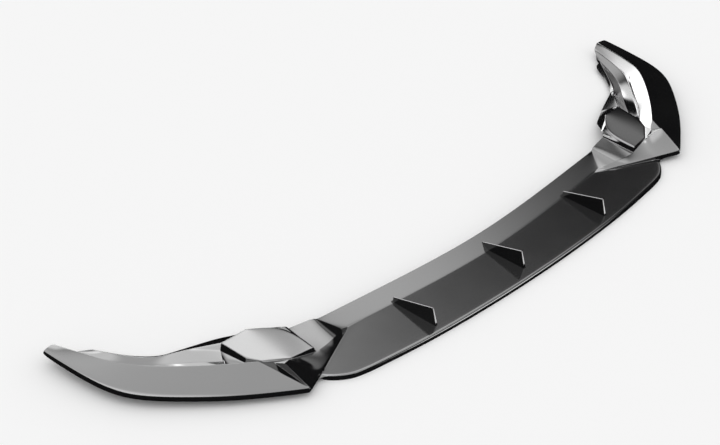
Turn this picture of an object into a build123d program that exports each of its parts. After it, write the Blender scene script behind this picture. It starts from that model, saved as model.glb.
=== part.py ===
from build123d import *
import os

# One-piece front splitter lip, moulded as a thin sheet with a turned-down outer edge.
# Millimetres. x runs across the car, y runs to the rear and z is up. While the sheet is laid out,
# y = 0 is the middle of the front edge and z = 0 is the ground under the blade.

# Sheet and edge
wall = 4.0
rim_depth = 12.0
blade_height = 12.0

# Blade, at half width
blade_sag_mid = 13.0
blade_mid_x = 320.0
blade_corner_x = 512.0
blade_corner_y = 41.0
blade_depth = 130.0

# Rear strip
strip_end_x = 412.0
strip_end_y = 160.0
strip_run = 40.0
strip_rise = 20.0

# Fins
fin_spacing = 286.0
fin_thickness = 4.0
fin_front_y = 29.0
fin_front_lean = 11.0
fin_front_height = 40.0
fin_rear_y = 152.0
fin_rear_height = 11.0
fin_foot_sink = 1.5

# Wing tip and ramp
tip_x = 622.0
tip_y = 62.0
tip_z = 24.0
ridge_x = 629.0
ridge_y = 126.0
ridge_z = 56.0
ridge_back_y = 155.0
ridge_back_z = 41.0

# Wing outer edge
half_width = 925.0
wing_rear_y = 520.0
rim_rear_z = 38.0

# Scoop, below the middle between its two sides
bowl_depth = 8.0

# Seat pad
pad_z = 41.0
pad_slope_x = -0.03
pad_slope_y = 0.08
pad_centre_x = 600.0
pad_centre_y = 200.0

# The folds of the right half, as points along each. They were drawn for a lip of drawn_size with
# its blade's corner at drawn_corner, and stretch with the sizes above
drawn_size = (925, 520, 56)
drawn_corner = (512, 41)
corner_before = [(440, 28), (476, 33)]
corner_after = [(533, 52), (552, 67)]
dish_line = [(432, 157, 29), (467, 144, 27), (505, 136, 27), (528, 134, 33)]
dish_rear_line = [(470, 211, 31), (498, 217, 31), (521, 222, 39)]
brow_line = [(591, 145, 34), (606, 138, 45)]
brow_back = (638, 180, 36)
rim_line = [(728, 137), (800, 201), (858, 261), (895, 318), (914, 395)]
crest_line = [
    (656, 174, 49), (700, 209, 49), (752, 256, 48), (800, 305, 48), (840, 356, 47),
    (864, 412, 44), (896, 526, 37),
]
groove_line = [
    (660, 209, 33), (690, 232, 26), (738, 276, 19), (781, 321, 20), (822, 366, 23),
    (853, 415, 25), (889, 525, 28),
]
floor_line = [(688, 235, 21), (736, 279, 15), (779, 324, 15), (820, 369, 17), (850, 417, 19), (884, 524, 21)]
heel = (669, 273, 36)
back_line = [(706, 322, 28), (740, 352, 18), (772, 377, 12), (812, 430, 16), (841, 471, 21)]
inner_line = [
    (584, 285, 28), (642, 315, 22), (694, 340, 16), (728, 356, 12), (758, 370, 9),
    (799, 425, 8), (829, 481, 8),
]
pad_corners = [(536, 137), (593, 148), (638, 183), (655, 211), (660, 279), (600, 272), (533, 226)]

# Four corners this near to one plane make a flat face
flat_tolerance = 1e-6

points = {}
curves = []
faces = []


def place(name, x, y, z):
    """Keep a named point of the right half and its mirror image."""
    points[name] = Vector(x, y, z)
    if x != 0:
        points["left " + name] = Vector(-x, y, z)


def place_drawn(name, x, y, z):
    """Place a point read off the drawn outline, stretched to the lip's real sizes."""
    drawn_x, drawn_y, drawn_z = drawn_size
    place(name, x * half_width / drawn_x, y * wing_rear_y / drawn_y, z * ridge_z / drawn_z)


def place_row(word, first, coordinates):
    """Place a run of numbered points of the drawn outline."""
    for i, (x, y, z) in enumerate(coordinates, first):
        place_drawn(f"{word} {i}", x, y, z)


def mirrored(name):
    """Name of the same point on the other side; points on x = 0 are their own mirror."""
    if name.startswith("left "):
        return name.removeprefix("left ")
    return "left " + name if "left " + name in points else name


def row(*names):
    """A smooth curve through the named points, on both sides."""
    curves.append(names)
    curves.append(tuple(mirrored(n) for n in names))


def full_row(names):
    """A smooth curve that starts on x = 0 and runs on through its mirror image."""
    curves.append(tuple(mirrored(n) for n in reversed(names[1:])) + tuple(names))


def patch(*names):
    """One face of the sheet, corners anticlockwise from outside, and its mirror image."""
    faces.append(names)
    faces.append(tuple(mirrored(n) for n in reversed(names)))


def band(outer, inner):
    """Faces between two rows of points, outer or front row first, running outboard and rearward."""
    for i in range(len(outer) - 1):
        patch(outer[i], outer[i + 1], inner[i + 1], inner[i])


def between(a, b, share):
    """Point on the straight line from one named point to another."""
    return points[a] + (points[b] - points[a]) * share


def on_line(name, a, b, share):
    """Place a point on the straight line between two others."""
    p = between(a, b, share)
    place(name, p.X, p.Y, p.Z)


def lay_out_blade():
    """Blade top, its nose and the strip behind it."""
    z = blade_height
    place("front 0", 0, 0, z)
    place("front 1", blade_mid_x / 2, blade_sag_mid / 4, z)
    place("front 2", blade_mid_x, blade_sag_mid, z)
    place("front 5", blade_corner_x, blade_corner_y, z)
    drawn_x, drawn_y = drawn_corner
    for first, line in ((3, corner_before), (6, corner_after)):
        for i, (x, y) in enumerate(line, first):
            place(f"front {i}", x * blade_corner_x / drawn_x, y * blade_corner_y / drawn_y, z)
    place("root", strip_end_x, strip_end_y, z)
    top = z + strip_rise
    sweep = strip_end_y - blade_depth
    for i, (share_x, share_y) in enumerate([(0, 0), (0.36, 0.2), (0.70, 0.6)]):
        y = blade_depth + sweep * share_y
        place(f"strip {i}", strip_end_x * share_x, y, z)
        place(f"rear {i}", strip_end_x * share_x, y + strip_run, top)
    place("rear 3", strip_end_x + strip_run * 0.7, strip_end_y + strip_run * 1.1, top)


def lay_out_ramp():
    """Forward edge of the wing, from the end of the strip to the tip, and the surfaces behind it."""
    place("tip", tip_x, tip_y, tip_z)
    stations = [0.14, 0.30, 0.42, 0.51, 0.68, 0.745]
    for i, share in enumerate(stations, 1):
        on_line(f"edge {i}", "root", "tip", share)
        p = points[f"edge {i}"]
        place("front 8" if i == 6 else f"foot {i}", p.X, p.Y, blade_height)
    place("tip foot", tip_x, tip_y, tip_z - rim_depth)
    place_row("dish", 1, dish_line)
    place_row("brow", 1, brow_line)
    place("ridge", ridge_x, ridge_y, ridge_z)
    place("ridge back", ridge_x, ridge_back_y, ridge_back_z)
    place_drawn("brow back", *brow_back)
    place_row("dish rear", 1, dish_rear_line)


def lay_out_shelf():
    """Outer edge, crest, inner wall and groove along the side of the wing."""
    place_row("rim", 1, [(x, y, 0) for x, y in rim_line])
    place("rim 6", half_width, wing_rear_y, rim_rear_z)
    for i in range(1, 7):
        p = points[f"rim {i}"]
        z = tip_z + (rim_rear_z - tip_z) * (p.Y - tip_y) / (wing_rear_y - tip_y)
        place(f"rim {i}", p.X, p.Y, z)
        place(f"skirt {i}", p.X, p.Y, z - rim_depth)
    place_row("crest", 0, crest_line)
    place_row("groove", 0, groove_line)
    place_row("floor", 1, floor_line)


def lay_out_scoop():
    """Ridge between the scoop and the inner edge, and the inner edge itself."""
    place_drawn("heel", *heel)
    place_row("back", 1, back_line)
    place_row("inner", 0, inner_line)
    for i, name in enumerate(["heel"] + names("back", 1, 5), 1):
        p = between(f"floor {i}", name, 0.5)
        place(f"bowl {i}", p.X, p.Y, p.Z - bowl_depth)


def lay_out_pad():
    """Flat raised pad that seats against the bumper."""
    place_row("pad", 1, [(x, y, 0) for x, y in pad_corners])
    for i in range(1, 8):
        p = points[f"pad {i}"]
        z = pad_z + pad_slope_x * (p.X - pad_centre_x) + pad_slope_y * (p.Y - pad_centre_y)
        place(f"pad {i}", p.X, p.Y, z)


def names(word, first, last):
    """A run of numbered point names."""
    return [f"{word} {i}" for i in range(first, last + 1)]


def lay_blade_faces():
    """Blade, nose and strip."""
    front = names("front", 0, 8)
    for name in front:
        place(name.replace("front", "nose"), points[name].X, points[name].Y, blade_height - rim_depth)
    nose = names("nose", 0, 8)
    low = names("strip", 0, 2) + ["root"]
    rear = names("rear", 0, 3)
    full_row(front)
    full_row(nose)
    full_row(low)
    band(nose, front)
    band(front, low + names("foot", 1, 5))
    band(low, rear)


def lay_ramp_faces():
    """Ramp, its turned-down edge, the dish and the ridge."""
    edge = ["root"] + names("edge", 1, 6) + ["tip"]
    upper = names("dish", 1, 4) + ["brow 1", "brow 2", "ridge"]
    row(*names("dish", 1, 3))
    dish_rear = ["rear 3"] + names("dish rear", 1, 3)
    rear = names("rear", 0, 3) + names("dish rear", 1, 3)
    full_row(rear)
    patch("root", "foot 1", "edge 1")
    band(names("foot", 1, 5), names("edge", 1, 5))
    patch("foot 5", "front 8", "edge 6", "edge 5")
    patch("front 8", "tip foot", "tip", "edge 6")
    patch("root", "edge 1", "dish 1")
    band(edge[1:], upper)
    patch("root", "dish 1", "rear 3")
    band(names("dish", 1, 4), dish_rear)
    patch("tip", "ridge back", "ridge")
    patch("tip", "crest 0", "ridge back")
    patch("brow 2", "ridge", "ridge back")
    patch("brow 1", "brow 2", "ridge back")
    patch("brow 1", "ridge back", "brow back")
    patch("ridge back", "crest 0", "brow back")
    patch("crest 0", "groove 0", "brow back")


def lay_shelf_faces():
    """Shelf, its turned-down rim, inner wall and groove."""
    rim = ["tip"] + names("rim", 1, 6)
    skirt = ["tip foot"] + names("skirt", 1, 6)
    crest = names("crest", 0, 6)
    for line in (rim, skirt, crest, names("groove", 1, 6), names("floor", 1, 6)):
        row(*line)
    band(skirt, rim)
    band(rim, crest)
    band(crest, names("groove", 0, 6))
    patch("groove 0", "groove 1", "floor 1")
    band(names("groove", 1, 6), names("floor", 1, 6))


def lay_scoop_faces():
    """Scoop floor, the slope behind the pad and the flap on the inner edge."""
    ridge = ["pad 5"] + names("back", 1, 5)
    row(*ridge[1:])
    row(*names("inner", 4, 6))
    bowl = names("bowl", 1, 6)
    row(*bowl)
    patch("groove 0", "floor 1", "bowl 1", "heel")
    band(names("floor", 1, 6), bowl)
    band(bowl, ["heel"] + names("back", 1, 5))
    patch("heel", "back 1", "pad 5")
    band(ridge, names("inner", 1, 6))
    patch("pad 6", "pad 5", "inner 1", "inner 0")
    patch("pad 7", "pad 6", "inner 0")


def lay_pad_faces():
    """Pad top and the steps around it."""
    foot = ["dish 4", "brow 1", "brow back", "groove 0"]
    band(foot, names("pad", 1, 4))
    patch("groove 0", "heel", "pad 5", "pad 4")
    patch("dish rear 3", "dish 4", "pad 1", "pad 7")
    patch("pad 1", "pad 2", "pad 6", "pad 7")
    patch("pad 2", "pad 3", "pad 5", "pad 6")
    patch("pad 3", "pad 4", "pad 5")


def lay_sheet():
    """Fill the tables of points, curves and faces."""
    lay_out_blade()
    lay_out_ramp()
    lay_out_shelf()
    lay_out_scoop()
    lay_out_pad()
    lay_blade_faces()
    lay_ramp_faces()
    lay_shelf_faces()
    lay_scoop_faces()
    lay_pad_faces()


def solve(a, b, c, r):
    """Vector whose products with the rows a, b and c are the parts of r."""
    full = a.dot(b.cross(c))
    return (b.cross(c) * r.X + c.cross(a) * r.Y + a.cross(b) * r.Z) * (1 / full)


def inward_steps():
    """How far each point moves to lie on the underside of a sheet one wall thick."""
    stiffness = 0.02
    matrix = {n: [Vector(stiffness, 0, 0), Vector(0, stiffness, 0), Vector(0, 0, stiffness)] for n in points}
    target = {n: Vector(0, 0, 0) for n in points}
    for face in faces:
        for i, name in enumerate(face):
            to_next = points[face[(i + 1) % len(face)]] - points[name]
            to_last = points[face[i - 1]] - points[name]
            normal = to_next.cross(to_last).normalized()
            weight = to_next.get_angle(to_last) / 90
            rows = matrix[name]
            for k, part in enumerate(normal):
                rows[k] = rows[k] + normal * (part * weight)
            target[name] = target[name] - normal * (wall * weight)
    return {n: solve(*matrix[n], target[n]) for n in points}


def curve_directions():
    """Direction of each smooth curve at each of its points."""
    directions = {}
    for line in curves:
        p = [points[n] for n in line]
        middle = [(p[i + 1] - p[i - 1]).normalized() for i in range(1, len(p) - 1)]
        first = ((p[1] - p[0]).normalized() * 2 - middle[0]).normalized()
        last = ((p[-1] - p[-2]).normalized() * 2 - middle[-1]).normalized()
        for i, direction in enumerate([first] + middle + [last]):
            if i > 0:
                directions[line[i], line[i - 1]] = direction * -1
            if i < len(p) - 1:
                directions[line[i], line[i + 1]] = direction
    return directions


def make_edge(a, b, place_of, directions):
    """Straight edge, or a piece of the smooth curve that joins the two points."""
    start = place_of[a]
    end = place_of[b]
    if (a, b) not in directions:
        return Edge.make_line(start, end)
    reach = (end - start).length / 3
    return Edge.make_bezier(start, start + directions[a, b] * reach, end + directions[b, a] * reach, end)


def is_flat(face, place_of, directions):
    """True where all edges are straight and the corners lie in one plane."""
    corners = [place_of[n] for n in face]
    straight = all((n, face[i - 1]) not in directions for i, n in enumerate(face))
    a, b, c = [p - corners[0] for p in (corners[1], corners[2], corners[-1])]
    return straight and abs(a.cross(b).normalized().dot(c)) < flat_tolerance


def make_face(face, place_of, directions):
    """Flat face, or a ruled face between the two opposite edges that may curve."""
    if is_flat(face, place_of, directions):
        corners = [place_of[n] for n in face]
        return Face(Wire.make_polygon(corners, close=True))
    a, b, c, d = face
    if (b, c) in directions or (d, a) in directions:
        a, b, c, d = b, c, d, a
    first = make_edge(a, b, place_of, directions)
    second = make_edge(d, c, place_of, directions)
    return Face.make_surface_from_curves(first, second)


def free_edges():
    """Edges that only one face uses, which run round the outline of the sheet."""
    seen = {}
    for face in faces:
        for i, name in enumerate(face):
            pair = (name, face[(i + 1) % len(face)])
            seen[frozenset(pair)] = None if frozenset(pair) in seen else pair
    return [pair for pair in seen.values() if pair]


def make_sheet():
    """Closed solid between the outer faces and the same faces moved in by one wall."""
    steps = inward_steps()
    outer = points
    inner = {n: points[n] + steps[n] for n in points}
    directions = curve_directions()
    skin = [make_face(f, outer, directions) for f in faces]
    skin += [make_face(f, inner, directions) for f in faces]
    for a, b in free_edges():
        top = make_edge(a, b, outer, directions)
        bottom = make_edge(a, b, inner, directions)
        skin.append(Face.make_surface_from_curves(top, bottom))
    return Solid(Shell(skin))


def make_fin(x):
    """Upright fin that runs from the strip forward onto the blade."""
    foot = blade_height - fin_foot_sink
    profile = [
        (x, fin_front_y, foot),
        (x, fin_front_y + fin_front_lean, blade_height + fin_front_height),
        (x, fin_rear_y, blade_height + fin_rear_height),
        (x, fin_rear_y, foot),
    ]
    side = Face(Wire.make_polygon([Vector(*p) for p in profile], close=True))
    return extrude(side, amount=fin_thickness / 2, dir=(1, 0, 0), both=True)


lay_sheet()
lip = make_sheet()
for x in (-fin_spacing, 0, fin_spacing):
    lip = lip + make_fin(x)

box = lip.bounding_box()
lip = Pos(0, -(box.min.Y + box.max.Y) / 2, -box.min.Z) * lip

os.makedirs("parts", exist_ok=True)
export_step(lip, "parts/splitter_lip.step")
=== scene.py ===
import math

import bmesh
import bpy
from mathutils import Matrix, Vector


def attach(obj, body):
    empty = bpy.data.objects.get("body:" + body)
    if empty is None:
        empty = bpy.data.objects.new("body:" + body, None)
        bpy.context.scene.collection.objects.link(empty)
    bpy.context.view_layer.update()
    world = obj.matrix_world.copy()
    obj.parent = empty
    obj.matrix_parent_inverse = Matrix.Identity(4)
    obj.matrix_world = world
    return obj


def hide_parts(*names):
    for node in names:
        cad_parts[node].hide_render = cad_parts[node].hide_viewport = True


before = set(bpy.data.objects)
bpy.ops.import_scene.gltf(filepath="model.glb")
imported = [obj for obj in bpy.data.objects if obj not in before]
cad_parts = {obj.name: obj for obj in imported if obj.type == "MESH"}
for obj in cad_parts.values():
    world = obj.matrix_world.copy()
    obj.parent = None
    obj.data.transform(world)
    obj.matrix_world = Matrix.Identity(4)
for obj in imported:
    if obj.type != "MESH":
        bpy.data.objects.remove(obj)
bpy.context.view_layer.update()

# Sizes of the lip in millimetres, as in its solid. y = 0 is the middle of the front edge.
wall = 4.0
rim_depth = 12.0

# Blade and the strip behind it, at half width
blade_height = 12.0
blade_sag_mid = 13.0
blade_mid_x = 320.0
blade_corner_x = 512.0
blade_corner_y = 41.0
blade_depth = 130.0
strip_end_x = 412.0
strip_end_y = 160.0
strip_run = 40.0
strip_rise = 20.0
# Shares of the strip's width and of its sweep, at its points from the middle outward
strip_shares = [(0, 0), (0.36, 0.2), (0.70, 0.6)]
# Shares of the strip's run by which the rear end of its upper edge lies outward and back
rear_end_shares = (0.7, 1.1)

# Wing
tip_x = 622.0
tip_y = 62.0
tip_z = 24.0
ridge_x = 629.0
ridge_y = 126.0
ridge_z = 56.0
ridge_back_y = 155.0
ridge_back_z = 41.0
half_width = 925.0
wing_rear_y = 520.0
rim_rear_z = 38.0
bowl_depth = 8.0
# Shares of the way from the strip's end to the tip, at the points of the ramp's lower edge
edge_shares = [0.14, 0.30, 0.42, 0.51, 0.68, 0.745]

# Seat pad
pad_z = 41.0
pad_slope_x = -0.03
pad_slope_y = 0.08
pad_centre_x = 600.0
pad_centre_y = 200.0

# The folds of the right half, as points along each. They were drawn for a lip of drawn_size with
# its blade's corner at drawn_corner, and stretch with the sizes above
drawn_size = (925, 520, 56)
drawn_corner = (512, 41)
corner_before = [(440, 28), (476, 33)]
corner_after = [(533, 52), (552, 67)]
brow_line = [(591, 145, 34), (606, 138, 45)]
rim_line = [(728, 137), (800, 201), (858, 261), (895, 318), (914, 395)]
crest_line = [
    (656, 174, 49), (700, 209, 49), (752, 256, 48), (800, 305, 48), (840, 356, 47),
    (864, 412, 44), (896, 526, 37),
]
floor_line = [
    (688, 235, 21), (736, 279, 15), (779, 324, 15), (820, 369, 17), (850, 417, 19),
    (884, 524, 21),
]
back_line = [(706, 322, 28), (740, 352, 18), (772, 377, 12), (812, 430, 16), (841, 471, 21)]
pad_corners = [(536, 137), (593, 148), (638, 183), (655, 211), (660, 279), (600, 272), (533, 226)]

# These lie lower or higher than in the solid, by 15 mm at most, to bend the gloss as photographed
dish_line = [(434, 164, 14), (467, 144, 24), (505, 136, 24), (533, 136, 25)]
dish_rear_line = [(470, 211, 34), (498, 217, 34), (526, 223, 34)]
brow_back = (638, 180, 33)
heel = (669, 273, 29)
groove_line = [
    (660, 209, 27), (690, 232, 26), (738, 276, 21), (781, 321, 21), (822, 366, 23),
    (853, 415, 25), (889, 525, 28),
]
inner_line = [
    (584, 285, 22), (642, 315, 22), (694, 340, 16), (728, 356, 12), (758, 370, 9),
    (799, 425, 8), (829, 481, 8),
]

# In the scene alone, the pad's outboard side rolls down from pad_roll_start on, by pad_roll at
# pad_roll_reach from there
pad_roll = 4.0
pad_roll_start = 570.0
pad_roll_reach = 85.0
# Width of the row of faces that keeps the blade flat right up to its front fold
lip_run = 10.0

# Fins, as thick at the top as in the solid and thicker at the foot
fin_spacing = 286.0
fin_top_width = 4.0
fin_foot_width = 7.0
fin_front_y = 29.0
fin_front_lean = 11.0
fin_front_height = 40.0
fin_rear_y = 152.0
fin_rear_height = 11.0
fin_foot_sink = 1.5

# Rounding of the folds, in millimetres. It takes at most room_share of the shortest edge beside
# a fold, and a fold with room for less than least_round is creased
edge_round = 4.0
fold_round = 1.2
least_round = 0.4
fin_round = 1.2
room_share = 0.35
# Facets across a rounded fold, and how often the sheet is subdivided
fold_segments = 2
fin_segments = 3
surface_levels = 3
# In degrees: folds flatter than fold_angle flow, and edges sharper than sharp_angle are shaded so
fold_angle = 7.0
sharp_angle = 40.0
# Keeps points of the underside from sliding where the faces around them lie almost in one plane
stiffness = 0.02

# Gloss black
black_darkest = (0.0045, 0.0045, 0.0048, 1)
black_lightest = (0.0085, 0.0085, 0.0088, 1)
least_roughness = 0.07
most_roughness = 0.13
gloss_index = 1.45
cloud_scale = 9.0
cloud_detail = 4.0
peel_scale = 160.0
peel_detail = 2.0
peel_strength = 0.02
peel_depth = 0.0004

# Camera and floor. Lens and sensor are in millimetres, the rest in metres
camera_lens = 86.62
camera_sensor = 36.0
camera_reach = 50.0
camera_place = (-2.4513, -2.1102, 2.1999)
camera_right = (0.6959, -0.7181, 0.0)
camera_back = (-0.5954, -0.5769, 0.5592)
floor_half = 12.0
floor_white = (0.92, 0.92, 0.92, 1)

# Even light on everything, and a glow that only the gloss reflects. Each pair is where the glow
# is gone and where it is full, as a cosine
even_strength = 1.0
ceiling_strength = 8.0
ceiling_right = (0.75, 0.40)
ceiling_left = (-0.80, -0.62)
ceiling_low = (0.47, 0.77)
ceiling_rear = (0.85, 0.68)
window_strength = 16.0
window_rear = (0.80, 0.90)
window_top = (0.42, 0.32)
window_foot = (0.02, 0.12)
# Softboxes: direction, cosine where each fades out, cosine where it is full, strength
softboxes = [
    ((-0.3, 0.2, 0.93), 0.89, 0.96, 6.0),
    ((-0.6, -0.2, 0.78), 0.90, 0.97, 8.0),
    ((0.12, -0.92, 0.37), 0.985, 0.997, 8.0),
    ((0.60, -0.28, 0.75), 0.950, 0.995, 3.6),
    ((0.77, 0.36, 0.53), 0.993, 0.999, 1.8),
    ((0.72, 0.46, 0.53), 0.990, 0.998, 0.1),
    ((0.38, 0.46, 0.81), 0.992, 0.999, 8.0),
    ((0.60, 0.37, 0.71), 0.988, 0.996, 5.0),
    ((0.52, 0.71, 0.47), 0.976, 0.993, 8.0),
    ((0.60, 0.76, 0.28), 0.980, 0.992, 5.0),
    ((0.60, -0.77, -0.25), 0.96, 0.985, 11.0),
]

# From the layout frame to the shared frame
mm = 0.001
middle_y = 263.0

points = {}
curves = []
faces = []
smooth_pairs = set()


def place(name, x, y, z):
    """Keep a named point of the right half and its mirror image."""
    points[name] = Vector((x, y, z))
    if x != 0:
        points["left " + name] = Vector((-x, y, z))


def place_drawn(name, x, y, z):
    """Place a point read off the drawn outline, stretched to the lip's real sizes."""
    drawn_x, drawn_y, drawn_z = drawn_size
    place(name, x * half_width / drawn_x, y * wing_rear_y / drawn_y, z * ridge_z / drawn_z)


def place_row(word, first, coordinates):
    """Place a run of numbered points of the drawn outline."""
    for i, (x, y, z) in enumerate(coordinates, first):
        place_drawn(f"{word} {i}", x, y, z)


def mirrored(name):
    """Name of the same point on the other side; points on x = 0 are their own mirror."""
    if name.startswith("left "):
        return name.removeprefix("left ")
    return "left " + name if "left " + name in points else name


def row(*line):
    """A smooth curve through the named points, on both sides."""
    curves.append(line)
    curves.append(tuple(mirrored(n) for n in line))


def full_row(line):
    """A smooth curve that starts on x = 0 and runs on through its mirror image."""
    curves.append(tuple(mirrored(n) for n in reversed(line[1:])) + tuple(line))


def patch(*corners):
    """One face of the sheet, corners anticlockwise from outside, and its mirror image."""
    faces.append(corners)
    faces.append(tuple(mirrored(n) for n in reversed(corners)))


def band(outer, inner, smooth=True):
    """Faces between two rows of points, which flow into each other where smooth."""
    for i in range(len(outer) - 1):
        patch(outer[i], outer[i + 1], inner[i + 1], inner[i])
    if smooth:
        for a, b in zip(outer[1:-1], inner[1:-1]):
            smooth_pairs.add(frozenset((a, b)))
            smooth_pairs.add(frozenset((mirrored(a), mirrored(b))))


def on_line(name, a, b, share):
    """Place a point on the straight line between two others."""
    place(name, *points[a].lerp(points[b], share))


def names(word, first, last):
    """A run of numbered point names."""
    return [f"{word} {i}" for i in range(first, last + 1)]


def lay_out_blade():
    """Blade top, its nose and the strip behind it."""
    z = blade_height
    place("front 0", 0, 0, z)
    place("front 1", blade_mid_x / 2, blade_sag_mid / 4, z)
    place("front 2", blade_mid_x, blade_sag_mid, z)
    place("front 5", blade_corner_x, blade_corner_y, z)
    drawn_x, drawn_y = drawn_corner
    for first, line in ((3, corner_before), (6, corner_after)):
        for i, (x, y) in enumerate(line, first):
            place(f"front {i}", x * blade_corner_x / drawn_x, y * blade_corner_y / drawn_y, z)
    place("root", strip_end_x, strip_end_y, z)
    top = z + strip_rise
    sweep = strip_end_y - blade_depth
    for i, (share_x, share_y) in enumerate(strip_shares):
        y = blade_depth + sweep * share_y
        place(f"strip {i}", strip_end_x * share_x, y, z)
        place(f"rear {i}", strip_end_x * share_x, y + strip_run, top)
    outward, back = rear_end_shares
    place("rear 3", strip_end_x + strip_run * outward, strip_end_y + strip_run * back, top)


def lay_out_ramp():
    """Forward edge of the wing, from the end of the strip to the tip, and the surfaces behind it."""
    place("tip", tip_x, tip_y, tip_z)
    for i, share in enumerate(edge_shares, 1):
        on_line(f"edge {i}", "root", "tip", share)
        p = points[f"edge {i}"]
        place("front 8" if i == 6 else f"foot {i}", p.x, p.y, blade_height)
    place("tip foot", tip_x, tip_y, tip_z - rim_depth)
    place_row("dish", 1, dish_line)
    place_row("brow", 1, brow_line)
    place("ridge", ridge_x, ridge_y, ridge_z)
    place("ridge back", ridge_x, ridge_back_y, ridge_back_z)
    place_drawn("brow back", *brow_back)
    place_row("dish rear", 1, dish_rear_line)


def lay_out_shelf():
    """Outer edge, crest, inner wall and groove along the side of the wing."""
    place_row("rim", 1, [(x, y, 0) for x, y in rim_line])
    place("rim 6", half_width, wing_rear_y, rim_rear_z)
    for i in range(1, 7):
        p = points[f"rim {i}"]
        z = tip_z + (rim_rear_z - tip_z) * (p.y - tip_y) / (wing_rear_y - tip_y)
        place(f"rim {i}", p.x, p.y, z)
        place(f"skirt {i}", p.x, p.y, z - rim_depth)
    place_row("crest", 0, crest_line)
    place_row("groove", 0, groove_line)
    place_row("floor", 1, floor_line)


def lay_out_scoop():
    """Ridge between the scoop and the inner edge, and the inner edge itself."""
    place_drawn("heel", *heel)
    place_row("back", 1, back_line)
    place_row("inner", 0, inner_line)
    for i, name in enumerate(["heel"] + names("back", 1, 5), 1):
        p = points[f"floor {i}"].lerp(points[name], 0.5)
        place(f"bowl {i}", p.x, p.y, p.z - bowl_depth)


def lay_out_pad():
    """Flat raised pad that seats against the bumper."""
    place_row("pad", 1, [(x, y, 0) for x, y in pad_corners])
    for i in range(1, 8):
        p = points[f"pad {i}"]
        z = pad_z + pad_slope_x * (p.x - pad_centre_x) + pad_slope_y * (p.y - pad_centre_y)
        z -= pad_roll * max(0, (p.x - pad_roll_start) / pad_roll_reach) ** 2
        place(f"pad {i}", p.x, p.y, z)


def lay_blade_faces():
    """Blade, nose and strip."""
    front = names("front", 0, 8)
    for name in front:
        place(name.replace("front", "nose"), points[name].x, points[name].y, blade_height - rim_depth)
    nose = names("nose", 0, 8)
    low = names("strip", 0, 2) + ["root"]
    rear = names("rear", 0, 3)
    back = low + names("foot", 1, 5)
    for i, (a, b) in enumerate(zip(front, back)):
        on_line(f"lip {i}", a, b, lip_run / (points[b] - points[a]).length)
    lip = names("lip", 0, 8)
    for line in (front, lip, nose, low):
        full_row(line)
    band(nose, front)
    band(front, lip)
    band(lip, back)
    band(low, rear)


def lay_ramp_faces():
    """Ramp, its turned-down edge, the dish and the ridge."""
    edge = ["root"] + names("edge", 1, 6) + ["tip"]
    upper = names("dish", 1, 4) + ["brow 1", "brow 2", "ridge"]
    row(*names("dish", 1, 3))
    full_row(names("rear", 0, 3) + names("dish rear", 1, 3))
    patch("root", "foot 1", "edge 1")
    band(names("foot", 1, 5), names("edge", 1, 5))
    patch("foot 5", "lip 8", "front 8", "edge 6", "edge 5")
    patch("front 8", "tip foot", "tip", "edge 6")
    patch("root", "edge 1", "dish 1")
    band(edge[1:], upper)
    patch("root", "dish 1", "rear 3")
    band(names("dish", 1, 4), ["rear 3"] + names("dish rear", 1, 3))
    patch("tip", "ridge back", "ridge")
    patch("tip", "crest 0", "ridge back")
    patch("brow 2", "ridge", "ridge back")
    patch("brow 1", "brow 2", "ridge back")
    patch("brow 1", "ridge back", "brow back")
    patch("ridge back", "crest 0", "brow back")
    patch("crest 0", "groove 0", "brow back")


def lay_shelf_faces():
    """Shelf, its turned-down rim, inner wall and groove."""
    rim = ["tip"] + names("rim", 1, 6)
    skirt = ["tip foot"] + names("skirt", 1, 6)
    crest = names("crest", 0, 6)
    for line in (rim, skirt, crest, names("groove", 1, 6), names("floor", 1, 6)):
        row(*line)
    band(skirt, rim)
    band(rim, crest)
    band(crest, names("groove", 0, 6))
    patch("groove 0", "groove 1", "floor 1")
    band(names("groove", 1, 6), names("floor", 1, 6))


def lay_scoop_faces():
    """Scoop floor, the slope behind the pad and the flap on the inner edge."""
    ridge = ["pad 5"] + names("back", 1, 5)
    row(*ridge[1:])
    row(*names("inner", 4, 6))
    bowl = names("bowl", 1, 6)
    row(*bowl)
    patch("groove 0", "floor 1", "bowl 1", "heel")
    band(names("floor", 1, 6), bowl)
    band(bowl, ["heel"] + names("back", 1, 5))
    patch("heel", "back 1", "pad 5")
    band(ridge, names("inner", 1, 6))
    patch("pad 6", "pad 5", "inner 1", "inner 0")
    patch("pad 7", "pad 6", "inner 0")


def lay_pad_faces():
    """Pad top and the steps around it."""
    foot = ["dish 4", "brow 1", "brow back", "groove 0"]
    band(foot, names("pad", 1, 4), smooth=False)
    patch("groove 0", "heel", "pad 5", "pad 4")
    patch("dish rear 3", "dish 4", "pad 1", "pad 7")
    patch("pad 1", "pad 2", "pad 6", "pad 7")
    patch("pad 2", "pad 3", "pad 5", "pad 6")
    patch("pad 3", "pad 4", "pad 5")


def lay_sheet():
    """Fill the tables of points, curves and faces."""
    lay_out_blade()
    lay_out_ramp()
    lay_out_shelf()
    lay_out_scoop()
    lay_out_pad()
    lay_blade_faces()
    lay_ramp_faces()
    lay_shelf_faces()
    lay_scoop_faces()
    lay_pad_faces()


def swell():
    """Move the points of each curve outward by as much as subdivision draws the curve inside them."""
    moved = {}
    for line in curves:
        for a, b, c in zip(line, line[1:], line[2:]):
            moved[b] = points[b] * (4 / 3) - (points[a] + points[c]) / 6
    points.update(moved)


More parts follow.
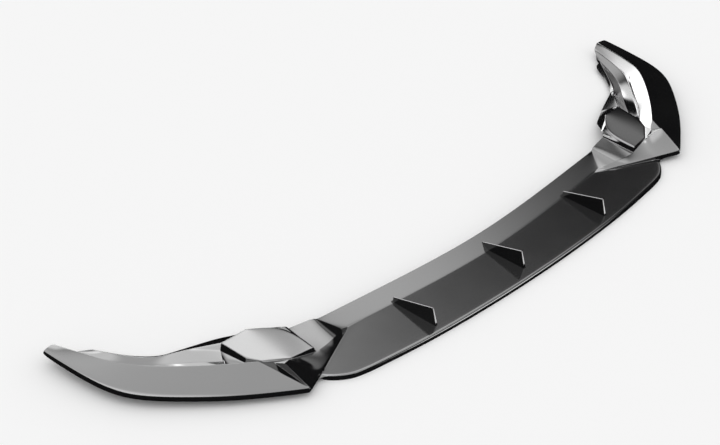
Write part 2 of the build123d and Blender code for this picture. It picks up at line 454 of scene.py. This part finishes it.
def inward_steps():
    """How far each point moves to lie on the underside of a sheet one wall thick."""
    matrix = {n: Matrix.Identity(3) * stiffness for n in points}
    target = {n: Vector() for n in points}
    for face in faces:
        for i, name in enumerate(face):
            to_next = points[face[(i + 1) % len(face)]] - points[name]
            to_last = points[face[i - 1]] - points[name]
            normal = to_next.cross(to_last).normalized()
            weight = to_next.angle(to_last) / (math.pi / 2)
            outer = Matrix([normal * part for part in normal])
            matrix[name] = matrix[name] + outer * weight
            target[name] = target[name] - normal * (wall * weight)
    return {n: matrix[n].inverted() @ target[n] for n in points}


def free_edges():
    """Edges that only one face uses, which run round the outline of the sheet."""
    seen = {}
    for face in faces:
        for i, name in enumerate(face):
            pair = (name, face[(i + 1) % len(face)])
            seen[frozenset(pair)] = None if frozenset(pair) in seen else pair
    return [pair for pair in seen.values() if pair]


def mesh_of(bm, name):
    """Mesh of what was put together."""
    mesh = bpy.data.meshes.new(name)
    bm.to_mesh(mesh)
    bm.free()
    return mesh


def add_object(name, data):
    """Put a mesh or a camera in the scene."""
    added = bpy.data.objects.new(name, data)
    bpy.context.scene.collection.objects.link(added)
    return added


def to_frame(p):
    """Layout millimetres to metres in the shared frame."""
    return Vector((p.x, p.y - middle_y, p.z)) * mm


def room_beside(edge):
    """Length of the shortest edge that runs off one edge within its own faces."""
    ends = set(edge.verts)
    lengths = []
    for face in edge.link_faces:
        lengths += [e.calc_length() for e in face.edges if e is not edge and ends & set(e.verts)]
    return min(lengths)


def on_side(face, names_of):
    """Whether a face of the cage runs from the outer faces to the underside."""
    return len({names_of[v].startswith("under ") for v in face.verts}) == 2


def mark_folds(bm, names_of):
    """Mark how round each fold is, crease the sheet's sides and leave the rest to flow."""
    crease = bm.edges.layers.float.new("crease_edge")
    rounding = bm.edges.layers.float.new("bevel_weight_edge")
    for edge in bm.edges:
        full = [names_of[v] for v in edge.verts]
        bare = frozenset(n.removeprefix("under ") for n in full)
        at_side = any(on_side(face, names_of) for face in edge.link_faces)
        if len(bare) == 1 or bare in smooth_pairs and not at_side:
            continue
        if not at_side and math.degrees(edge.calc_face_angle(0.0)) < fold_angle:
            continue
        plain = {n.removeprefix("left ") for n in full}
        outer = {n.split()[0] for n in plain} <= {"front", "rim", "tip"}
        width = edge_round if outer or plain == {"pad 1", "pad 7"} else fold_round
        width = min(width * mm, room_beside(edge) * room_share)
        if at_side or "under" in " ".join(full) or width < least_round * mm:
            edge[crease] = 1.0
        else:
            edge[rounding] = width / (edge_round * mm)


def make_sheet_mesh():
    """Cage of the whole sheet: outer faces, the same faces one wall further in, and the sides."""
    steps = inward_steps()
    bm = bmesh.new()
    top = {n: bm.verts.new(to_frame(p)) for n, p in points.items()}
    low = {n: bm.verts.new(to_frame(p + steps[n])) for n, p in points.items()}
    for face in faces:
        bm.faces.new([top[n] for n in face])
        bm.faces.new([low[n] for n in reversed(face)])
    for a, b in free_edges():
        bm.faces.new([top[b], top[a], low[a], low[b]]).material_index = 1
    bm.normal_update()
    names_of = {v: n for n, v in top.items()}
    names_of.update({v: "under " + n for n, v in low.items()})
    mark_folds(bm, names_of)
    return mesh_of(bm, "lip_sheet")


def add_bevel(piece, width, segments):
    """Round the marked edges of a piece."""
    bevel = piece.modifiers.new("folds", "BEVEL")
    bevel.limit_method = "WEIGHT"
    bevel.width = width * mm
    bevel.segments = segments
    bevel.use_clamp_overlap = False
    return bevel


def worked_out(mesh, add_modifier):
    """Mesh that one modifier makes of another mesh."""
    cage = add_object("cage", mesh)
    add_modifier(cage)
    done = bpy.data.meshes.new_from_object(cage.evaluated_get(bpy.context.evaluated_depsgraph_get()))
    bpy.data.objects.remove(cage)
    return done


def crease_sides(mesh):
    """Keep the sheet's sides sharp, rounded corners included."""
    bm = bmesh.new()
    bm.from_mesh(mesh)
    crease = bm.edges.layers.float["crease_edge"]
    for edge in bm.edges:
        if len({f.material_index for f in edge.link_faces}) == 2:
            edge[crease] = 1.0
    for face in bm.faces:
        face.material_index = 0
    bm.to_mesh(mesh)
    bm.free()


def add_surface(piece):
    """Smooth surface through a cage."""
    surface = piece.modifiers.new("surface", "SUBSURF")
    surface.levels = surface_levels
    surface.uv_smooth = "NONE"


def smoothed(mesh):
    """Smooth mesh that the cage makes, with its folds rounded."""
    rounded = worked_out(mesh, lambda cage: add_bevel(cage, edge_round, fold_segments))
    crease_sides(rounded)
    return worked_out(rounded, add_surface)


def add_piece(name, mesh, material):
    """Put a mesh in the scene with its material."""
    piece = add_object(name, mesh)
    mesh.materials.append(material)
    mesh.shade_smooth()
    mesh.set_sharp_from_angle(angle=math.radians(sharp_angle))
    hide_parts("splitter_lip")
    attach(piece, "root")
    return piece


def make_fin_mesh(x):
    """Upright fin that runs from the strip forward onto the blade, thicker at its foot."""
    foot = blade_height - fin_foot_sink
    profile = [
        (fin_front_y, foot, fin_foot_width),
        (fin_front_y + fin_front_lean, blade_height + fin_front_height, fin_top_width),
        (fin_rear_y, blade_height + fin_rear_height, fin_top_width),
        (fin_rear_y, foot, fin_foot_width),
    ]
    bm = bmesh.new()
    sides = []
    for way in (-1, 1):
        corners = [Vector((x + way * width / 2, y, z)) for y, z, width in profile]
        sides.append([bm.verts.new(to_frame(p)) for p in corners])
    bm.faces.new(sides[0])
    bm.faces.new(list(reversed(sides[1])))
    for i in range(len(profile)):
        bm.faces.new([sides[0][i - 1], sides[1][i - 1], sides[1][i], sides[0][i]])
    bmesh.ops.recalc_face_normals(bm, faces=bm.faces)
    weight = bm.edges.layers.float.new("bevel_weight_edge")
    for edge in bm.edges:
        edge[weight] = 1.0
    return mesh_of(bm, "lip_fin")


def add_noise(tree, place_in, scale, detail):
    """Noise fixed to the piece."""
    noise = tree.nodes.new("ShaderNodeTexNoise")
    noise.inputs["Scale"].default_value = scale
    noise.inputs["Detail"].default_value = detail
    tree.links.new(place_in.outputs["Object"], noise.inputs["Vector"])
    return noise.outputs["Fac"]


def gloss_black():
    """Moulded gloss black: faint clouding in the colour and the shine, and a very fine waviness."""
    material = bpy.data.materials.new("gloss_black")
    material.use_nodes = True
    nodes = material.node_tree.nodes
    links = material.node_tree.links
    shader = nodes["Principled BSDF"]
    place_in = nodes.new("ShaderNodeTexCoord")
    cloud = add_noise(material.node_tree, place_in, cloud_scale, cloud_detail)
    tint = nodes.new("ShaderNodeMix")
    tint.data_type = "RGBA"
    tint.inputs["A"].default_value = black_darkest
    tint.inputs["B"].default_value = black_lightest
    links.new(cloud, tint.inputs["Factor"])
    links.new(tint.outputs["Result"], shader.inputs["Base Color"])
    shine = nodes.new("ShaderNodeMapRange")
    shine.inputs["To Min"].default_value = least_roughness
    shine.inputs["To Max"].default_value = most_roughness
    links.new(cloud, shine.inputs["Value"])
    links.new(shine.outputs["Result"], shader.inputs["Roughness"])
    bump = nodes.new("ShaderNodeBump")
    bump.inputs["Strength"].default_value = peel_strength
    bump.inputs["Distance"].default_value = peel_depth
    peel = add_noise(material.node_tree, place_in, peel_scale, peel_detail)
    links.new(peel, bump.inputs["Height"])
    links.new(bump.outputs["Normal"], shader.inputs["Normal"])
    shader.inputs["IOR"].default_value = gloss_index
    return material


def make_camera():
    """Camera at the photograph's viewpoint, looking forward and down at the lip."""
    data = bpy.data.cameras.new("camera")
    data.sensor_width = camera_sensor
    data.lens = camera_lens
    data.clip_end = camera_reach
    camera = add_object("camera", data)
    right = Vector(camera_right).normalized()
    back = Vector(camera_back).normalized()
    up = back.cross(right)
    turn = Matrix((right, up, back)).transposed()
    camera.matrix_world = Matrix.Translation(camera_place) @ turn.to_4x4()
    bpy.context.scene.camera = camera


def make_floor():
    """Plain white floor."""
    bm = bmesh.new()
    bmesh.ops.create_grid(bm, x_segments=1, y_segments=1, size=floor_half)
    floor = add_object("floor", mesh_of(bm, "floor"))
    material = bpy.data.materials.new("floor")
    material.use_nodes = True
    shader = material.node_tree.nodes["Principled BSDF"]
    shader.inputs["Base Color"].default_value = floor_white
    shader.inputs["Roughness"].default_value = 1.0
    shader.inputs["Specular IOR Level"].default_value = 0.0
    floor.data.materials.append(material)
    floor.visible_glossy = False


def add_fade(tree, value, faint, full, strength):
    """Value turned into a glow that rises smoothly from nothing at one level to full at another."""
    fade = tree.nodes.new("ShaderNodeMapRange")
    fade.interpolation_type = "SMOOTHSTEP"
    fade.inputs["From Min"].default_value = faint
    fade.inputs["From Max"].default_value = full
    fade.inputs["To Max"].default_value = strength
    tree.links.new(value, fade.inputs["Value"])
    return fade.outputs["Result"]


def add_toward(tree, direction):
    """Cosine between a ray and one direction."""
    look = tree.nodes.new("ShaderNodeTexCoord")
    toward = tree.nodes.new("ShaderNodeVectorMath")
    toward.operation = "DOT_PRODUCT"
    toward.inputs[1].default_value = Vector(direction).normalized()
    tree.links.new(look.outputs["Generated"], toward.inputs[0])
    return toward.outputs["Value"]


def add_math(tree, operation, a, b):
    """Two values added or multiplied."""
    total = tree.nodes.new("ShaderNodeMath")
    total.operation = operation
    tree.links.new(a, total.inputs[0])
    tree.links.new(b, total.inputs[1])
    return total.outputs[0]


def make_light():
    """Even soft light on all, and studio softboxes that only the gloss picks up."""
    world = bpy.data.worlds.new("studio")
    bpy.context.scene.world = world
    world.use_nodes = True
    tree = world.node_tree
    background = tree.nodes["Background"]
    background.inputs["Color"].default_value = (1, 1, 1, 1)
    right = add_toward(tree, (1, 0, 0))
    rear = add_toward(tree, (0, 1, 0))
    high = add_toward(tree, (0, 0, 1))
    side = add_fade(tree, right, *ceiling_right, 1.0)
    side = add_math(tree, "MULTIPLY", side, add_fade(tree, right, *ceiling_left, 1.0))
    ceiling = add_math(tree, "MULTIPLY", side, add_fade(tree, high, *ceiling_low, 1.0))
    ceiling = add_math(tree, "MULTIPLY", ceiling, add_fade(tree, rear, *ceiling_rear, ceiling_strength))
    behind = add_fade(tree, rear, *window_rear, 1.0)
    window = add_math(tree, "MULTIPLY", behind, add_fade(tree, high, *window_top, 1.0))
    window = add_math(tree, "MULTIPLY", window, add_fade(tree, high, *window_foot, window_strength))
    glow = add_math(tree, "ADD", ceiling, window)
    for direction, faint, full, strength in softboxes:
        box = add_fade(tree, add_toward(tree, direction), faint, full, strength)
        glow = add_math(tree, "ADD", glow, box)
    path = tree.nodes.new("ShaderNodeLightPath")
    choose = tree.nodes.new("ShaderNodeMix")
    choose.data_type = "FLOAT"
    choose.inputs["A"].default_value = even_strength
    tree.links.new(path.outputs["Is Glossy Ray"], choose.inputs["Factor"])
    tree.links.new(glow, choose.inputs["B"])
    tree.links.new(choose.outputs["Result"], background.inputs["Strength"])


lay_sheet()
swell()
black = gloss_black()
add_piece("lip_sheet", smoothed(make_sheet_mesh()), black)
for side, x in (("left", -fin_spacing), ("mid", 0), ("right", fin_spacing)):
    fin = add_piece(f"fin_{side}", make_fin_mesh(x), black)
    add_bevel(fin, fin_round, fin_segments).harden_normals = True
make_camera()
make_floor()
make_light()

scene = bpy.context.scene
scene.view_settings.view_transform = "Standard"
